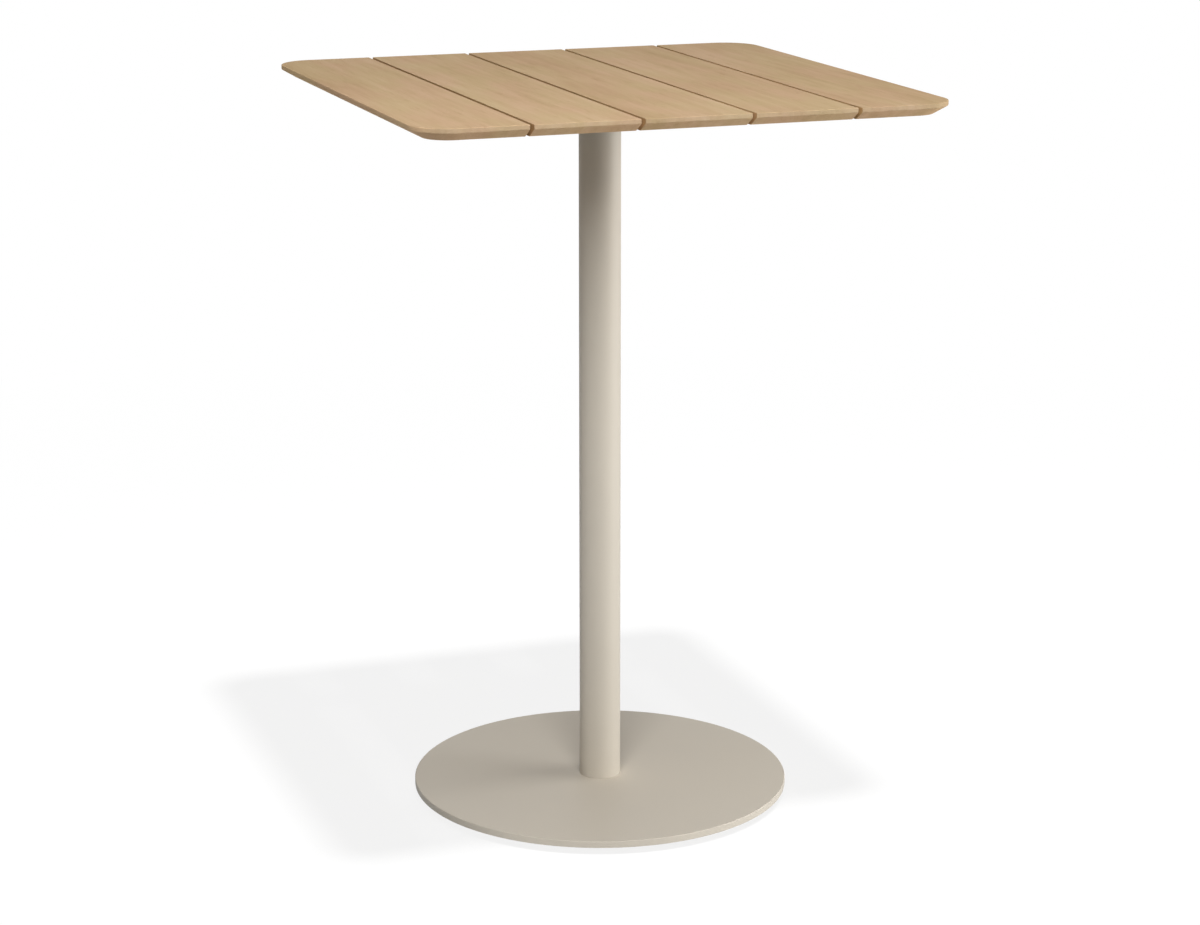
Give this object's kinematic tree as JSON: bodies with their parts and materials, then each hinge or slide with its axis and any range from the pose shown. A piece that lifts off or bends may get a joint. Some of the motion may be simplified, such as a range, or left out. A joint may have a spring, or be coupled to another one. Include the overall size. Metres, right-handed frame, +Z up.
{
  "type": "outdoor bar table",
  "caption": "Square outdoor bar table: bevelled hardwood planks on a steel underframe, round steel column and flat disc base with screw-adjusted levelling glides.",
  "frame": {"origin": "on the floor, under the middle of the column", "axes": "+Z up; the planks run along Y, and X runs across them"},
  "size_m": [0.752, 0.752, 1.05],
  "materials": {
    "teak": "oiled, fine straight grain",
    "powder_coat": "satin powder coat, warm stone grey",
    "fastener_steel": "plain stainless steel",
    "glide_plastic": "moulded, matte black"
  },
  "bodies": {
    "table": {"plank_1": "teak", "plank_2": "teak", "plank_3": "teak", "plank_4": "teak", "plank_5": "teak", "crossbar_front": "powder_coat", "crossbar_rear": "powder_coat", "bearer_left": "powder_coat", "bearer_right": "powder_coat", "column_flange": "powder_coat", "column_tube": "powder_coat", "base_plate": "powder_coat", "column_plug": "fastener_steel", "plank_screws_front": "fastener_steel", "plank_screws_rear": "fastener_steel", "flange_bolts": "fastener_steel", "flange_washers": "fastener_steel", "flange_nuts": "fastener_steel", "base_bolt": "fastener_steel", "base_washer": "fastener_steel", "base_dowel": "fastener_steel"},
    "front_left_pad": {"glide_pad_front_left": "glide_plastic"},
    "front_left_stud": {"glide_stud_front_left": "fastener_steel"},
    "front_right_pad": {"glide_pad_front_right": "glide_plastic"},
    "front_right_stud": {"glide_stud_front_right": "fastener_steel"},
    "rear_left_pad": {"glide_pad_rear_left": "glide_plastic"},
    "rear_left_stud": {"glide_stud_rear_left": "fastener_steel"},
    "rear_right_pad": {"glide_pad_rear_right": "glide_plastic"},
    "rear_right_stud": {"glide_stud_rear_right": "fastener_steel"}
  },
  "joints": [
    {"name": "front_left_height", "type": "slide", "parent": "table", "child": "front_left_pad", "axis": [0, 0, -1], "range_m": [0, 0.003]},
    {"name": "front_left_turn", "type": "hinge", "parent": "front_left_pad", "child": "front_left_stud", "pos_m": [-0.16122, -0.16122, 0], "axis": [0, 0, -1], "range_deg": [0, 865]},
    {"name": "front_right_height", "type": "slide", "parent": "table", "child": "front_right_pad", "axis": [0, 0, -1], "range_m": [0, 0.003]},
    {"name": "front_right_turn", "type": "hinge", "parent": "front_right_pad", "child": "front_right_stud", "pos_m": [0.16122, -0.16122, 0], "axis": [0, 0, -1], "range_deg": [0, 865]},
    {"name": "rear_left_height", "type": "slide", "parent": "table", "child": "rear_left_pad", "axis": [0, 0, -1], "range_m": [0, 0.003]},
    {"name": "rear_left_turn", "type": "hinge", "parent": "rear_left_pad", "child": "rear_left_stud", "pos_m": [-0.16122, 0.16122, 0], "axis": [0, 0, -1], "range_deg": [0, 865]},
    {"name": "rear_right_height", "type": "slide", "parent": "table", "child": "rear_right_pad", "axis": [0, 0, -1], "range_m": [0, 0.003]},
    {"name": "rear_right_turn", "type": "hinge", "parent": "rear_right_pad", "child": "rear_right_stud", "pos_m": [0.16122, 0.16122, 0], "axis": [0, 0, -1], "range_deg": [0, 865]}
  ],
  "couplings": [
    {"joint": "front_left_turn", "follows": "front_left_height", "rad_per_m": 5026.5},
    {"joint": "front_right_turn", "follows": "front_right_height", "rad_per_m": 5026.5},
    {"joint": "rear_left_turn", "follows": "rear_left_height", "rad_per_m": 5026.5},
    {"joint": "rear_right_turn", "follows": "rear_right_height", "rad_per_m": 5026.5}
  ]
}
